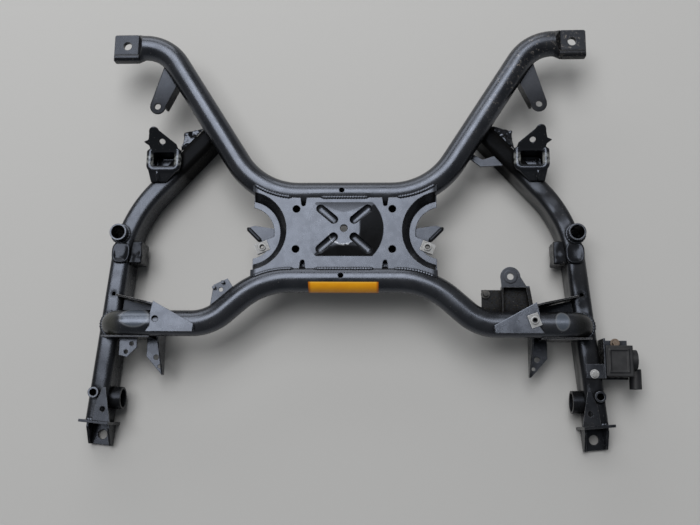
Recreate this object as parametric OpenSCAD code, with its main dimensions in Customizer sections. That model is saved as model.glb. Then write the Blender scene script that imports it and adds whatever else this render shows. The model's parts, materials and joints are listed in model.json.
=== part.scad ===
/* [Tubes] */
// Outside diameter of both cross tubes, mm
tube_od = 48; // [46:1:50]
// Wall of both cross tubes, mm
tube_wall = 3; // [2:0.5:4]
// How far a tube sinks into the top of a rail, mm
tube_sink = 5; // [3:0.5:7]
// Distance of the front tube ahead of the centre hole, mm
front_y = 70; // [67:1:73]
// Distance of the rear tube behind the centre hole, mm
rear_back = 92; // [88:1:96]
// Half width at which the front tube starts its arm, mm
front_bend_x = 163; // [158:1:168]
// Length of the arm between its two bends, mm
arm_length = 357.5; // [350:2.5:365]
// Bend radius of the front tube at the arm, mm
front_bend_r = 139.5; // [124:15.5:155]
// Bend radius beside the front lug, mm
lug_bend_r = 77.5; // [62:15.5:77.5]
// Half width of the first bend of the rear tube, mm
rear_bend_x = 154; // [150:1:158]
// Length of the slanted part of the rear tube, mm
slant_length = 125; // [109.375:15.625:140.625]
// Radius of the first bend of the rear tube, mm
rear_bend_r = 146.25; // [131.625:14.625:160.875]
// Radius of the second bend of the rear tube, mm
outer_bend_r = 87.75; // [73.125:14.625:102.375]
// Half width of the turned-down ends of the rear tube, mm
elbow_x = 432; // [428:1:436]
// Radius of the turned-down ends, mm
elbow_r = 30; // [28:1:36]
// How far the rear tube lies above the front tube, mm
rear_lift = 5; // [3:0.5:7]
// Diameter of the drain hole on top of each tube, mm
drain_d = 10; // [6:1:12]

/* [Front lugs] */
// Length over which the tube is pinched flat, mm
pinch_length = 14; // [12:1:20]
// Distance from the flat to the bolt hole, mm
lug_hole_inset = 22; // [18:1:24]
// Distance from the bolt hole to the end, mm
lug_reach = 26; // [22:1:30]
// Width of the flat with its bead, mm
lug_width = 56; // [52:1:60]
// Thickness of the flat, mm
lug_thick = 10; // [8:1:12]
// Diameter of the bolt hole, mm
lug_hole_d = 17; // [13:1:18]
// Radius of the rolled bead along the near edge, mm
bead_r = 7; // [5:0.5:8]

/* [Centre plates] */
// Sheet thickness of plates and brackets, mm
sheet = 3; // [2:0.5:4]
// How far the upper plate lies below the tube crown, mm
plate_drop = 2; // [2:0.5:4]
// How far the lower plate lies below the upper plate, mm
plate_gap = 22; // [18:1:26]
// Half width of the centres of the side cut-outs, mm
cut_x = 182; // [178:1:186]
// Distance of the cut-out centres behind the centre hole, mm
cut_back = 3; // [0:1:6]
// Radius of the side cut-outs of the upper plate, mm
cut_r = 75; // [73:1:77]
// How far the sloping wall flares into the cut-out, mm
wall_flare = 14; // [12:1:17]
// Width of the lower flange beyond the wall, mm
flange_width = 11; // [9:1:13]
// Spacing of the plate bolts across, mm
bolt_span_x = 178; // [172:1:184]
// Spacing of the plate bolts along, mm
bolt_span_y = 76; // [72:1:80]
// Diameter of the plate bolt holes, mm
bolt_hole_d = 14; // [11:1:15]
// Radius of the raised dish, mm
dish_r = 73; // [68:1:76]
// Half length of the raised dish, mm
dish_half = 51; // [46:1:54]
// Rise of the dish at its hub, mm
dish_rise = 6; // [4:0.5:8]
// Radius of the flat hub, mm
hub_r = 30; // [26:1:33]
// Diameter of the centre hole, mm
centre_hole_d = 14; // [11:1:15]
// Width of the pressed grooves in the dish, mm
groove_width = 16; // [12:1:18]
// Half spacing of the edge notches, mm
notch_x = 76; // [72:1:80]
// Width of the mouth of the edge notches, mm
notch_width = 13; // [8:1:14]
// Depth of the edge notches, mm
notch_depth = 17; // [12:1:20]

/* [Side rails] */
// Width of the box rails, mm
rail_width = 36; // [34:1:40]
// Height of the box rails, mm
rail_height = 70; // [66:1:74]
// Corner radius of the box rails, mm
rail_corner = 10; // [7:1:12]
// Wall of the box rails, mm
rail_wall = 3; // [2:0.5:4]
// Half width of the rail ends, mm
rail_end_x = 460; // [456:1:464]
// Distance of the rail ends behind the centre hole, mm
rail_end_back = 352; // [346:1:358]
// Lean of the straight part of a rail, degrees
rail_lean = 5.5; // [4.5:0.5:6.5]
// Length of a rail up to its bend point, mm
rail_run = 383; // [378:1:388]
// Radius of the rail bend, mm
rail_bend_r = 234; // [210:3:249]
// Length of a rail past its bend point, mm
rail_reach = 247; // [243:1:251]

/* [Sleeves and ends] */
// Half width of the body sleeves, mm
sleeve_x = 431; // [428:1:434]
// Outside diameter of the body sleeves, mm
sleeve_od = 32; // [28:1:34]
// Bore of the body sleeves, mm
sleeve_bore = 26; // [20:1:27]
// Height of the sleeves above the rail, mm
sleeve_stand = 18; // [12:1:24]
// Half width of the rear sleeves, mm
rear_sleeve_x = 462; // [459:1:465]
// Distance of the rear sleeves behind the centre hole, mm
rear_sleeve_back = 301; // [298:1:304]
// Outside diameter of the rear sleeves, mm
rear_sleeve_od = 20; // [18:1:24]
// Bore of the rear sleeves, mm
rear_sleeve_bore = 13; // [10:1:15]
// Outside diameter of the bush housings, mm
housing_od = 42; // [38:1:46]
// Reach of the bush housings inboard of the rail, mm
housing_reach = 14; // [8:1:20]
// Width of the end plates, mm
end_plate_width = 56; // [52:1:60]
// Thickness of the end plates, mm
end_plate_thick = 5; // [4:0.5:7]
// Width of the end lugs, mm
end_lug_width = 44; // [40:1:48]
// Length of the end lugs, mm
end_lug_length = 40; // [36:1:44]
// Height of the walls of the end lugs, mm
end_lug_wall = 42; // [34:1:50]
// Diameter of the end lug hole, mm
end_lug_hole_d = 18; // [15:1:20]

/* [Hidden] */
$fn = 48;
rear_y = -rear_back;
cut_y = -cut_back;
rail_end_y = -rail_end_back;
rear_sleeve_y = -rear_sleeve_back;
tube_r = tube_od / 2;
tube_axis = rail_height - tube_sink + tube_r;
tube_crown = tube_axis + tube_r;
plate_top = tube_crown - plate_drop;
rear_axis = tube_axis + rear_lift;
rear_crown = rear_axis + tube_r;
lower_top = plate_top - plate_gap;
hub_top = plate_top + dish_rise;
arm_way = [0.5376, 0.8432];
arm_trim = 17 / 31;
slant_way = [0.752192, -0.658944];
slant_trim = 44 / 117;
rail_way = [-0.6, 0.8];
rail_trim = 1 / 3;
lug_bend_x = front_bend_x + arm_length * arm_way[0];
lug_y = front_y + arm_length * arm_way[1];
outer_bend_x = rear_bend_x + slant_length * slant_way[0];
outer_y = rear_y + slant_length * slant_way[1];
front_arc_x = front_bend_x - front_bend_r * arm_trim;
rear_arc_x = rear_bend_x - rear_bend_r * slant_trim;
lug_start = lug_bend_x + lug_bend_r * arm_trim + 1;
lug_flat_x = lug_start + pinch_length;
lug_hole_x = lug_flat_x + lug_hole_inset;
lug_end = lug_hole_x + lug_reach;
lug_hole_y = lug_y + bead_r - 2;
front_path = [
    [-lug_start, lug_y],
    [-lug_bend_x, lug_y],
    [-front_bend_x, front_y],
    [front_bend_x, front_y],
    [lug_bend_x, lug_y],
    [lug_start, lug_y]
];
front_radii = [0, lug_bend_r, front_bend_r, front_bend_r, lug_bend_r, 0];
elbow_start = elbow_x - elbow_r;
rear_path = [
    [-elbow_start, outer_y],
    [-outer_bend_x, outer_y],
    [-rear_bend_x, rear_y],
    [rear_bend_x, rear_y],
    [outer_bend_x, outer_y],
    [elbow_start, outer_y]
];
rear_radii = [0, outer_bend_r, rear_bend_r, rear_bend_r, outer_bend_r, 0];
rail_path = [[0, 0], [0, rail_run], [rail_reach * rail_way[0], rail_run + rail_reach * rail_way[1]]];
rail_radii = [0, rail_bend_r, 0];
front_trims = front_radii * arm_trim;
rear_trims = rear_radii * slant_trim;
rail_trims = rail_radii * rail_trim;
wall_base_r = cut_r - wall_flare;
flange_r = wall_base_r - flange_width;
front_seam = front_y - sqrt(pow(tube_r, 2) - pow(plate_top - tube_axis, 2));
rear_seam = rear_y + sqrt(pow(tube_r, 2) - pow(plate_top - rear_axis, 2));
wall_turn = 8;
plate_half = cut_x - cut_r * sin(wall_turn);
gusset_bottom = rear_crown - 0.5;
wall_face = outer_y - tube_r + 0.6;
drain_x = -5;
groove_middle = 41.5;
groove_length = 49;
groove_depth = 3;
notch_end = 4;
big = 500;

function way(a, b) = (b - a) / norm(b - a);
function cross_of(u, v) = u[0] * v[1] - u[1] * v[0];

// Turns the X axis to the plan direction u.
module along(u) {
    multmatrix([[u[0], -u[1], 0, 0], [u[1], u[0], 0, 0], [0, 0, 1, 0], [0, 0, 0, 1]]) children();
}

// The plan sector that a bend fills; c and q are the cosine and sine of its turn.
module sector(c, q, side) {
    linear_extrude(2 * big, center = true)
        polygon(2 * big * [[0, 0], [0, -side], [q, -side * (1 + c)], [q, -side * c]]);
}

// A bar of the given section along a plan path with round bends; t holds the length each bend takes.
// A bar that is cut from others sweeps its bends, so that no skin stays between its pieces.
module bent_bar(p, r, t, swept = false) {
    for (i = [0 : len(p) - 2]) {
        translate([p[i][0], p[i][1], 0])
            along(way(p[i], p[i + 1]))
                translate([t[i], 0, 0])
                    rotate([90, 0, 90])
                        linear_extrude(norm(p[i + 1] - p[i]) - t[i] - t[i + 1]) children();
    }
    for (i = [1 : len(p) - 2]) {
        u = way(p[i - 1], p[i]);
        v = way(p[i], p[i + 1]);
        side = cross_of(u, v) > 0 ? 1 : -1;
        translate([p[i][0], p[i][1], 0])
            along(u)
                translate([-t[i], side * r[i], 0]) {
                    if (swept) {
                        along(side > 0 ? [0, -1] : [abs(cross_of(u, v)), u * v])
                            rotate_extrude(angle = acos(u * v))
                                translate([r[i], 0]) children();
                    } else {
                        intersection() {
                            rotate_extrude() translate([r[i], 0]) children();
                            sector(u * v, abs(cross_of(u, v)), side);
                        }
                    }
                }
    }
}

// The heights below are above the ground; the frame's origin is the top of the centre hole.
module seated() {
    translate([0, 0, -hub_top]) children();
}

module mirrored() {
    mirror([1, 0, 0]) children();
}

module both_sides() {
    children();
    mirror([1, 0, 0]) children();
}

module tube_ring() {
    difference() {
        circle(d = tube_od);
        circle(d = tube_od - 2 * tube_wall);
    }
}

module rounded_box(w, h, r) {
    translate([-w / 2 + r, -h / 2]) square([w - 2 * r, h]);
    translate([-w / 2, -h / 2 + r]) square([w, h - 2 * r]);
    for (x = [-1, 1]) {
        for (y = [-1, 1]) {
            translate([x * (w / 2 - r), y * (h / 2 - r)]) circle(r);
        }
    }
}

module rail_ring() {
    translate([0, rail_height / 2]) {
        difference() {
            rounded_box(rail_width, rail_height, rail_corner);
            rounded_box(rail_width - 2 * rail_wall, rail_height - 2 * rail_wall, rail_corner - rail_wall);
        }
    }
}

module rail_solid() {
    at_rail_end() bent_bar(rail_path, rail_radii, rail_trims, true)
        translate([0, rail_height / 2]) rounded_box(rail_width, rail_height, rail_corner);
}

module front_solid() {
    translate([0, 0, tube_axis])
        bent_bar(front_path, front_radii, front_trims, true) circle(d = tube_od);
}

module elbow() {
    translate([elbow_start, outer_y, rear_axis - elbow_r])
        rotate([90, 0, 0])
            rotate_extrude(angle = 90)
                translate([elbow_r, 0]) children();
}

module rear_solid() {
    translate([0, 0, rear_axis])
        bent_bar(rear_path, rear_radii, rear_trims, true) circle(d = tube_od);
    both_sides() elbow() circle(d = tube_od);
    both_sides() translate([elbow_x, outer_y, 0]) cylinder(d = tube_od, h = rear_axis - elbow_r);
}

module front_lug() {
    hull() {
        translate([lug_start, lug_y, tube_axis])
            rotate([0, 90, 0])
                cylinder(d = tube_od, h = 0.5);
        translate([lug_flat_x - 0.5, lug_y - lug_width / 2, tube_axis - lug_thick])
            cube([0.5, lug_width, lug_thick]);
    }
    translate([lug_flat_x - 1, lug_y, tube_axis - lug_thick])
        linear_extrude(lug_thick)
            translate([(lug_end - lug_flat_x + 1) / 2, 0])
                rounded_box(lug_end - lug_flat_x + 1, lug_width, 4);
    translate([lug_flat_x - 4, lug_y - lug_width / 2 + bead_r, tube_axis + 2])
        rotate([0, 90, 0])
            cylinder(r = bead_r, h = lug_end - lug_flat_x + 1);
}

module front_tube() {
    color("#202226") seated() difference() {
        union() {
            translate([0, 0, tube_axis])
                bent_bar(front_path, front_radii, front_trims) tube_ring();
            both_sides() front_lug();
        }
        translate([drain_x, front_y + 4, tube_axis])
            cylinder(d = drain_d, h = tube_od);
        both_sides() translate([lug_hole_x, lug_hole_y, 0])
            cylinder(d = lug_hole_d, h = big);
    }
}

module rear_tube() {
    color("#202226") seated() difference() {
        union() {
            translate([0, 0, rear_axis])
                bent_bar(rear_path, rear_radii, rear_trims) tube_ring();
            both_sides() elbow() tube_ring();
        }
        translate([drain_x, rear_y + 4, rear_axis])
            cylinder(d = drain_d, h = tube_od);
        both_sides() rail_solid();
    }
}

// The plan area between the two tube axes.
module between_tubes(half) {
    difference() {
        translate([-half, rear_y - 40]) square([2 * half, front_y - rear_y + 80]);
        translate([-front_arc_x, front_y]) square([2 * front_arc_x, big]);
        translate([-rear_arc_x, rear_y - big]) square([2 * rear_arc_x, big]);
        for (s = [-1, 1]) {
            translate([s * front_arc_x, front_y + front_bend_r]) circle(front_bend_r);
            translate([s * rear_arc_x, rear_y - rear_bend_r]) circle(rear_bend_r);
        }
    }
}

module side_cut(r) {
    translate([cut_x, cut_y]) circle(r);
}

// The plan form of the four pressed grooves, made wider by the given margin.
module grooves(margin) {
    for (a = [41, 139, 221, 319]) {
        rotate(a) translate([groove_middle, 0])
            rounded_box(groove_length + 2 * margin, groove_width + 2 * margin, groove_width / 2 + margin - 0.1);
    }
}

// An edge notch with a round end; its mouth lies past the plate edge, its end at the given depth.
module notch(depth) {
    linear_extrude(20) {
        polygon([[-notch_width / 2, 6], [notch_width / 2, 6], [notch_end, -depth], [-notch_end, -depth]]);
        translate([0, -depth]) circle(notch_end);
    }
}

module side_wall() {
    translate([cut_x, cut_y, 0])
        rotate([0, 0, 90 + wall_turn + 3])
            rotate_extrude(angle = 174 - 2 * wall_turn)
                polygon([
                    [cut_r + sheet / 2, plate_top - sheet / 3],
                    [wall_base_r, lower_top],
                    [wall_base_r + sheet, lower_top],
                    [cut_r + 2 * sheet, plate_top - sheet / 2],
                    [cut_r + 2 * sheet, plate_top - sheet / 3]
                ]);
}

module dish() {
    hull() {
        translate([0, 0, plate_top - 1])
            linear_extrude(1) intersection() {
                circle(dish_r);
                square([2 * dish_r, 2 * dish_half], center = true);
            }
        translate([0, 0, hub_top - 0.5]) cylinder(r = hub_r, h = 0.5);
    }
}

module centre_plate_upper() {
    color("#22262c") seated() difference() {
        union() {
            translate([0, 0, plate_top - sheet])
                linear_extrude(sheet) difference() {
                    between_tubes(plate_half);
                    side_cut(cut_r);
                    mirrored() side_cut(cut_r);
                }
            translate([0, 0, plate_top - groove_depth - sheet])
                linear_extrude(groove_depth + sheet - 1) grooves(sheet);
            both_sides() side_wall();
            dish();
        }
        front_solid();
        rear_solid();
        translate([0, 0, plate_top - groove_depth])
            linear_extrude(20) grooves(0);
        cylinder(d = centre_hole_d, h = big);
        for (x = [-1, 1]) {
            for (y = [-1, 1]) {
                translate([x * bolt_span_x / 2, y * bolt_span_y / 2, plate_top - 2 * sheet])
                    cylinder(d = bolt_hole_d, h = 20);
            }
            translate([x * notch_x, front_seam, plate_top - 2 * sheet])
                notch(notch_depth - notch_end);
            translate([x * notch_x, rear_seam, plate_top - 2 * sheet])
                rotate([0, 0, 180]) notch(notch_depth - notch_end);
        }
    }
}

// Plan place and turn of the clip nut on the right flange, on a short square tab.
clip_x = cut_x - 28;
clip_y = cut_y - 27;
clip_turn = 158;
nut_length = 24;
nut_width = 19;
nut_sheet = 1.5;
nut_hole_d = 7;

module on_clip() {
    translate([clip_x, clip_y, 0])
        rotate([0, 0, clip_turn]) children();
}

module flange_cut() {
    difference() {
        side_cut(flange_r);
        translate([clip_x, clip_y])
            rotate(clip_turn)
                translate([-nut_length / 2, -nut_width / 2 - 1]) square([2 * nut_length, nut_width + 2]);
    }
}

module centre_plate_lower() {
    color("#1c1e22") seated() difference() {
        translate([0, 0, lower_top - sheet])
            linear_extrude(sheet) difference() {
                between_tubes(plate_half);
                flange_cut();
                mirrored() flange_cut();
            }
        front_solid();
        rear_solid();
        cylinder(d = centre_hole_d + 10, h = big);
        both_sides() on_clip() cylinder(d = nut_hole_d + 2, h = big);
    }
}

// Depth of the turned-down lip along the near edge of a flange tab.
tab_lip = 10;

module flange_tab_right() {
    color("#1c1e22") seated() translate([cut_x, cut_y, lower_top - 2 * sheet]) {
        linear_extrude(sheet)
            polygon([[2, 11], [-12, 15], [-flange_r - 8, 8], [-flange_r - 8, -20], [-32, -14], [-26, -17]]);
        translate([0, 0, -tab_lip])
            linear_extrude(tab_lip + 1)
                polygon([[2, 11], [-26, -17], [-30, -14], [-2, 13]]);
    }
}

module flange_tab_left() {
    mirrored() flange_tab_right();
}

// A square nut plate with a barrel; the origin is the middle of the nut on the sheet.
module nut_plate() {
    translate([-nut_length / 2, -nut_width / 2, 0]) cube([nut_length, nut_width, nut_sheet]);
    translate([0, 0, 1]) cylinder(d = 13, h = 4);
}

// The same plate folded around the edge of the sheet.
module clip() {
    nut_plate();
    translate([-nut_length / 2 - nut_sheet, -nut_width / 2, -sheet - nut_sheet]) {
        cube([nut_length, nut_width, nut_sheet]);
        cube([nut_sheet, nut_width, sheet + 2 * nut_sheet]);
        translate([0, 0, sheet + nut_sheet]) cube([4, nut_width, nut_sheet]);
    }
}

module clip_nuts() {
    color("#b9bcc0") seated() difference() {
        union() {
            both_sides() on_clip() translate([0, 0, lower_top]) clip();
            translate([gusset_hole_x, gusset_hole_y, gusset_bottom + sheet])
                rotate([0, 0, -70]) nut_plate();
        }
        both_sides() on_clip() cylinder(d = nut_hole_d, h = big);
        translate([gusset_hole_x, gusset_hole_y, gusset_bottom]) cylinder(d = nut_hole_d, h = big);
    }
}

module side_rail_right() {
    color("#202226") seated() difference() {
        at_rail_end() bent_bar(rail_path, rail_radii, rail_trims) rail_ring();
        front_solid();
        translate([sleeve_x, 0, -1]) cylinder(d = sleeve_od, h = big);
        translate([rear_sleeve_x, rear_sleeve_y, -1]) cylinder(d = rear_sleeve_od, h = big);
        bush_envelope();
        at_rail_end() translate([-3.5, 234, rail_height - 10]) cube([7, 7, 20]);
    }
}

module side_rail_left() {
    mirrored() side_rail_right();
}

module body_sleeve_right() {
    color("#26282c") seated() translate([sleeve_x, 0, 0]) difference() {
        cylinder(d = sleeve_od, h = rail_height + sleeve_stand);
        translate([0, 0, -1]) cylinder(d = sleeve_bore, h = big);
    }
}

module body_sleeve_left() {
    mirrored() body_sleeve_right();
}

module rear_sleeve_right() {
    color("#26282c") seated() translate([rear_sleeve_x, rear_sleeve_y, 0]) difference() {
        cylinder(d = rear_sleeve_od, h = rail_height + 8);
        translate([0, 0, -1]) cylinder(d = rear_sleeve_bore, h = big);
    }
}

module rear_sleeve_left() {
    mirrored() rear_sleeve_right();
}

housing_y = rear_sleeve_y - 9;
housing_x = rear_sleeve_x - rear_sleeve_od / 2 - 6;

module bush_envelope() {
    translate([housing_x, housing_y, rail_height / 2])
        rotate([0, -90, 0])
            cylinder(d = housing_od, h = rail_width + housing_reach - 22);
}

module bush_housing_right() {
    color("#26282c") seated() difference() {
        bush_envelope();
        translate([housing_x + 1, housing_y, rail_height / 2])
            rotate([0, -90, 0])
                cylinder(d = housing_od - 8, h = big);
    }
}

module bush_housing_left() {
    mirrored() bush_housing_right();
}

cup_x = 352;
cup_y = 143;
cup_width = 64;
cup_length = 46;
cup_top = 84;
cup_floor = 46;
ear_root = cup_y + cup_length / 2 - 4;
ear_hole = [1, 20];
ear_hole_d = 11;

// The plane of the ear, which slopes up and away from the cup; Y runs up the slope.
module on_ear() {
    translate([cup_x, ear_root, cup_top - 4])
        multmatrix([[1, 0, 0, 0], [0, 0.8, -0.6, 0], [0, 0.6, 0.8, 0], [0, 0, 0, 1]]) children();
}

module cup_bracket_right() {
    color("#1b1d20") seated() difference() {
        union() {
            translate([cup_x, cup_y, 12])
                linear_extrude(cup_top - 12)
                    rounded_box(cup_width, cup_length, 10);
            on_ear() linear_extrude(sheet + 1) {
                polygon([[-30, -4], [25, -4], [28, 12], [38, 20], [28, 24], [25, 38], [5, 42], [-26, 14]]);
                translate([15, 40]) circle(10);
            }
        }
        translate([cup_x, cup_y, cup_floor])
            linear_extrude(cup_top - cup_floor + 1)
                rounded_box(cup_width - 16, cup_length - 16, 7);
        translate([cup_x, cup_y, 0])
            linear_extrude(cup_floor - 4)
                rounded_box(cup_width - 8, cup_length - 8, 7);
        on_ear() translate([ear_hole[0], ear_hole[1], -5]) cylinder(d = ear_hole_d, h = 20);
        rail_solid();
    }
}

module cup_bracket_left() {
    mirrored() cup_bracket_right();
}

module rail_collar_right() {
    color("#2a2d32") seated() difference() {
        translate([0, 0, rail_height - 8])
            linear_extrude(sheet)
                polygon([
                    [318, 204],
                    [300, 208],
                    [284, 214],
                    [268, 208],
                    [285, 182],
                    [306, 160],
                    [cup_x - cup_width / 2 + 6, 160],
                    [cup_x - cup_width / 2, 186]
                ]);
        rail_solid();
        front_solid();
        translate([cup_x, cup_y, 0])
            linear_extrude(big) rounded_box(cup_width, cup_length, 10);
    }
}

module rail_collar_left() {
    mirrored() rail_collar_right();
}

fg_x = lug_bend_x + 13;
fg_y = lug_y - 121;
fg_near = [lug_bend_x - 35, lug_y - 52];
fg_far = [lug_bend_x - 5, lug_y - 8];
fg_top = tube_axis - 2;

module front_gusset_right() {
    color("#2a2d32") seated() difference() {
        union() {
            translate([0, 0, fg_top - sheet])
                linear_extrude(sheet) {
                    polygon([fg_near, fg_far, [fg_x + 15, fg_y + 4], [fg_x - 15, fg_y]]);
                    translate([fg_x, fg_y]) circle(15);
                }
            translate([0, 0, fg_top - 28])
                linear_extrude(28)
                    polygon([fg_near, [fg_x - 15, fg_y], [fg_x - 11, fg_y + 1], fg_near + [4, 4]]);
        }
        front_solid();
        translate([fg_x, fg_y, 0]) cylinder(d = 12, h = big);
    }
}

module front_gusset_left() {
    mirrored() front_gusset_right();
}

gusset_hole_x = 342;
gusset_hole_y = outer_y + 5;
gusset_edge_x = gusset_hole_x + 9;
gusset_tip_x = gusset_hole_x - 71;

module tube_gusset_right() {
    color("#33373d") seated() difference() {
        translate([0, 0, gusset_bottom])
            linear_extrude(sheet)
                polygon([
                    [gusset_edge_x - 4, outer_y + 38],
                    [gusset_tip_x, outer_y - 4],
                    [gusset_tip_x + 2, outer_y - 18],
                    [gusset_edge_x + 8, outer_y - 18],
                    [gusset_edge_x + 0.5, gusset_hole_y - 12],
                    [gusset_edge_x + 0.5, gusset_hole_y + 12]
                ]);
        rear_solid();
        translate([gusset_hole_x, gusset_hole_y, 0]) cylinder(d = 12, h = big);
    }
}

module tube_gusset_left() {
    mirrored() tube_gusset_right();
}

saddle_run = elbow_x - gusset_edge_x;

module saddle_plank() {
    translate([gusset_edge_x - 14, outer_y + 32, 0])
        rotate([90, 0, 15])
            linear_extrude(sheet)
                polygon([
                    [0, rail_height - 30],
                    [saddle_run + 14, rail_height - 30],
                    [saddle_run + 14, rail_height + 12],
                    [24, gusset_bottom],
                    [0, gusset_bottom]
                ]);
}

module saddle_front_right() {
    color("#1f2125") seated() difference() {
        union() {
            saddle_plank();
            translate([gusset_edge_x - 13, outer_y, rail_height - 14])
                linear_extrude(sheet)
                    polygon([[0, 10], [saddle_run + 4, 10], [saddle_run + 4, 50], [0, 30.5]]);
        }
        rear_solid();
        rail_solid();
    }
}

module saddle_front_left() {
    mirrored() saddle_front_right();
}

module saddle_rear_right() {
    color("#1f2125") seated() difference() {
        translate([gusset_edge_x + 6, wall_face - sheet, rail_height - 24])
            cube([saddle_run + 8, sheet, rear_axis + 7 - rail_height + 24]);
        rear_solid();
        rail_solid();
    }
}

module saddle_rear_left() {
    mirrored() saddle_rear_right();
}

tab_floor = rail_height - 30;
tab_x = gusset_hole_x - 1;
tab_width = 35;
tab_root = outer_y + 8;
tab_tip = outer_y - 92;
tab_hole = [tab_x + 16, outer_y - 59];
tab_small_hole = [tab_x + 9, outer_y - 76];

module rear_tab_right() {
    color("#1f2125") seated() difference() {
        union() {
            translate([0, 0, tab_floor])
                linear_extrude(sheet)
                    polygon([
                        [tab_x, tab_root],
                        [tab_x + tab_width, tab_root],
                        [tab_x + tab_width, tab_tip + tab_width],
                        [tab_x + 4, tab_tip],
                        [tab_x, tab_tip]
                    ]);
            translate([tab_x, 0, 0])
                rotate([90, 0, 90])
                    linear_extrude(sheet)
                        polygon([
                            [tab_tip, tab_floor],
                            [tab_tip, tab_floor + 10],
                            [outer_y - tube_r, rear_axis],
                            [tab_root, rear_axis],
                            [tab_root, tab_floor]
                        ]);
        }
        rear_solid();
        translate([tab_hole[0], tab_hole[1], 0]) cylinder(d = 10, h = tab_floor + 20);
        translate([tab_small_hole[0], tab_small_hole[1], 0]) cylinder(d = 7, h = tab_floor + 20);
    }
}

module rear_tab_left() {
    mirrored() rear_tab_right();
}

module side_tab_left() {
    color("#1f2125") seated() mirrored() difference() {
        translate([0, 0, rail_height + 2])
            linear_extrude(sheet)
                polygon([
                    [386, wall_face - sheet],
                    [419, wall_face - sheet],
                    [419, wall_face - 34],
                    [404, wall_face - 38],
                    [386, wall_face - 20]
                ]);
        translate([396, wall_face - 13, 0]) cylinder(d = 8, h = big);
        translate([406, wall_face - 28, 0]) cylinder(d = 8, h = big);
    }
}

module pocket_bracket_right() {
    color("#1b1d20") seated() difference() {
        translate([390, -56, 18]) cube([34, 42, rail_height - 22]);
        translate([394, -52, 0]) cube([60, 34, rail_height - 8]);
        rail_solid();
        translate([sleeve_x, 0, -1]) cylinder(d = sleeve_od, h = big);
    }
}

module pocket_bracket_left() {
    mirrored() pocket_bracket_right();
}

// Things at the rear end, turned with the rail; the origin is the middle of the rail end.
module at_rail_end() {
    translate([rail_end_x, rail_end_y, 0])
        rotate([0, 0, rail_lean]) children();
}

module end_plate_right() {
    color("#1f2125") seated() at_rail_end()
        translate([-end_plate_width / 2, -end_plate_thick, 0])
            cube([end_plate_width, end_plate_thick, rail_height + 2]);
}

module end_plate_left() {
    mirrored() end_plate_right();
}

module end_lug_right() {
    color("#1f2125") seated() at_rail_end() translate([0, -end_plate_thick, 0]) difference() {
        union() {
            translate([-end_lug_width / 2, -end_lug_length, 4])
                cube([end_lug_width, end_lug_length, 4]);
            for (x = [-end_lug_width / 2, end_lug_width / 2 - 4]) {
                translate([x, 0, 0])
                    rotate([90, 0, 90])
                        linear_extrude(4)
                            polygon([
                                [0, 4],
                                [0, end_lug_wall],
                                [-8, end_lug_wall],
                                [-end_lug_length, 16],
                                [-end_lug_length, 4]
                            ]);
            }
        }
        translate([0, -end_lug_length * 0.52, 0]) cylinder(d = end_lug_hole_d, h = big);
    }
}

module end_lug_left() {
    mirrored() end_lug_right();
}

module end_gusset_right() {
    color("#1f2125") seated() difference() {
        at_rail_end()
            translate([0, 0, rail_height])
                linear_extrude(sheet)
                    polygon([[-31, 0], [2, 0], [1, 32], [-8, 62], [-14, 62]]);
        translate([rear_sleeve_x, rear_sleeve_y, -1]) cylinder(d = rear_sleeve_od, h = big);
        at_rail_end() translate([-14, 22, 0]) cylinder(d = 10, h = big);
    }
}

module end_gusset_left() {
    mirrored() end_gusset_right();
}

box_x = 303;
box_y = -88;
box_top = rear_axis + 12;

module box_bracket() {
    color("#2b2f31") seated() difference() {
        union() {
            translate([0, 0, box_top - sheet])
                linear_extrude(sheet) {
                    translate([box_x, box_y]) circle(18);
                    polygon([[box_x - 18, box_y], [box_x + 18, box_y], [box_x + 30, -108], [box_x - 16, -108]]);
                }
            translate([0, 0, box_top - 14])
                linear_extrude(14)
                    polygon([[box_x - 16, -105], [box_x + 30, -105], [box_x + 30, -108], [box_x - 16, -108]]);
            translate([0, 0, box_top - 14 - sheet])
                linear_extrude(sheet)
                    polygon([[box_x - 16, -105], [box_x + 34, -105], [box_x + 40, -142], [box_x - 16, -170]]);
            translate([0, 0, box_top - 14])
                linear_extrude(14)
                    polygon([[box_x + 27, -105], [box_x + 34, -105], [box_x + 40, -142], [box_x + 33, -142]]);
            translate([box_x - 16 - 35, -170, box_top - 20])
                cube([35 + sheet, 60, sheet]);
            translate([box_x - 16, -170, box_top - 20])
                cube([sheet, 65, 20]);
            translate([box_x, box_y, box_top - 1]) cylinder(d = 24, h = 2.5);
        }
        translate([box_x, box_y, 0]) cylinder(d = 12, h = big);
        rear_solid();
        saddle_plank();
    }
}

module box_stud() {
    color("#3a3b3c") seated() translate([box_x - 44, -118, box_top - 20 + sheet]) {
        cylinder(d = 16, h = 3);
        cylinder(d = 9, h = 12);
    }
}

module hose_bracket() {
    color("#1f2125") seated() difference() {
        union() {
            translate([0, 0, rear_axis + 8])
                linear_extrude(sheet)
                    polygon([[-214, -92], [-240, -104], [-246, -150], [-190, -130]]);
            translate([-222, -100, rear_axis + 8]) cylinder(d = 6, h = 12);
            translate([-238, -110, rear_axis + 8]) cylinder(d = 6, h = 12);
        }
        translate([-226, -113, 0]) cylinder(d = 8, h = big);
        rear_solid();
    }
}

module rail_strap() {
    color("#1f2125") seated() difference() {
        translate([0, 0, rail_height - 12])
            linear_extrude(sheet)
                polygon([[234, 152], [258, 134], [300, 136], [300, 160], [262, 148], [240, 161]]);
        rail_solid();
        front_solid();
        rail_far_side();
    }
}

// Everything on the far side of the right rail near the front tube.
module rail_far_side() {
    at_rail_end()
        translate([rail_path[2][0], rail_path[2][1], 0])
            along(rail_way)
                translate([-big, -big, 0]) cube([2 * big, big, big]);
}

sensor_x = 474;
sensor_y = -264;
sensor_width = 47;
sensor_length = 54;
sensor_floor = 36;
sensor_top = 82;

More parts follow.
